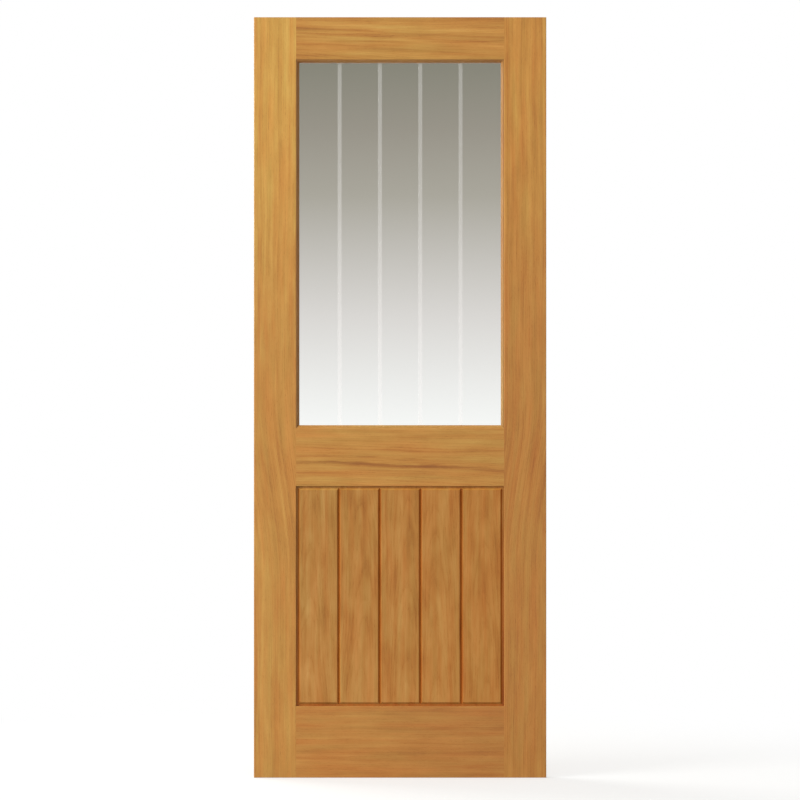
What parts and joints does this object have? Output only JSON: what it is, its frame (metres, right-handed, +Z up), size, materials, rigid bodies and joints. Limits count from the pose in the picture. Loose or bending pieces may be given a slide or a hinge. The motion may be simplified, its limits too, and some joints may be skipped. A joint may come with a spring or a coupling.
{
  "type": "half glazed door",
  "caption": "Half glazed internal door leaf in lacquered oak, with a clear pane with etched upright lines over a panel of vee-jointed upright boards.",
  "frame": {"origin": "foot of the hinge edge, at mid thickness", "axes": "+X across the leaf from the hinge edge to the lock edge, +Y from the front face to the back face, +Z up"},
  "size_m": [0.762, 0.035, 1.981],
  "materials": {
    "oak_frame": "satin clear lacquer on golden oak veneer, grain along each piece",
    "oak_lipping": "satin clear lacquer on solid golden oak",
    "oak_boards": "satin clear lacquer on golden oak veneer, upright grain",
    "oak_beads": "satin clear lacquer on solid golden oak",
    "clear_glass": "clear toughened glass with satin etched lines on the front face",
    "glazing_tape": "matt beige closed-cell foam tape"
  },
  "bodies": {
    "root": {"hinge_stile": "oak_frame", "lock_stile": "oak_frame", "bottom_rail": "oak_frame", "middle_rail": "oak_frame", "top_rail": "oak_frame", "hinge_edge_lipping": "oak_lipping", "lock_edge_lipping": "oak_lipping", "board_1": "oak_boards", "board_2": "oak_boards", "board_3": "oak_boards", "board_4": "oak_boards", "board_5": "oak_boards", "front_bottom_bead": "oak_beads", "front_right_bead": "oak_beads", "front_top_bead": "oak_beads", "front_left_bead": "oak_beads", "back_bottom_bead": "oak_beads", "back_right_bead": "oak_beads", "back_top_bead": "oak_beads", "back_left_bead": "oak_beads", "glass_pane": "clear_glass", "front_bottom_tape": "glazing_tape", "front_right_tape": "glazing_tape", "front_top_tape": "glazing_tape", "front_left_tape": "glazing_tape", "back_bottom_tape": "glazing_tape", "back_right_tape": "glazing_tape", "back_top_tape": "glazing_tape", "back_left_tape": "glazing_tape"}
  },
  "joints": []
}
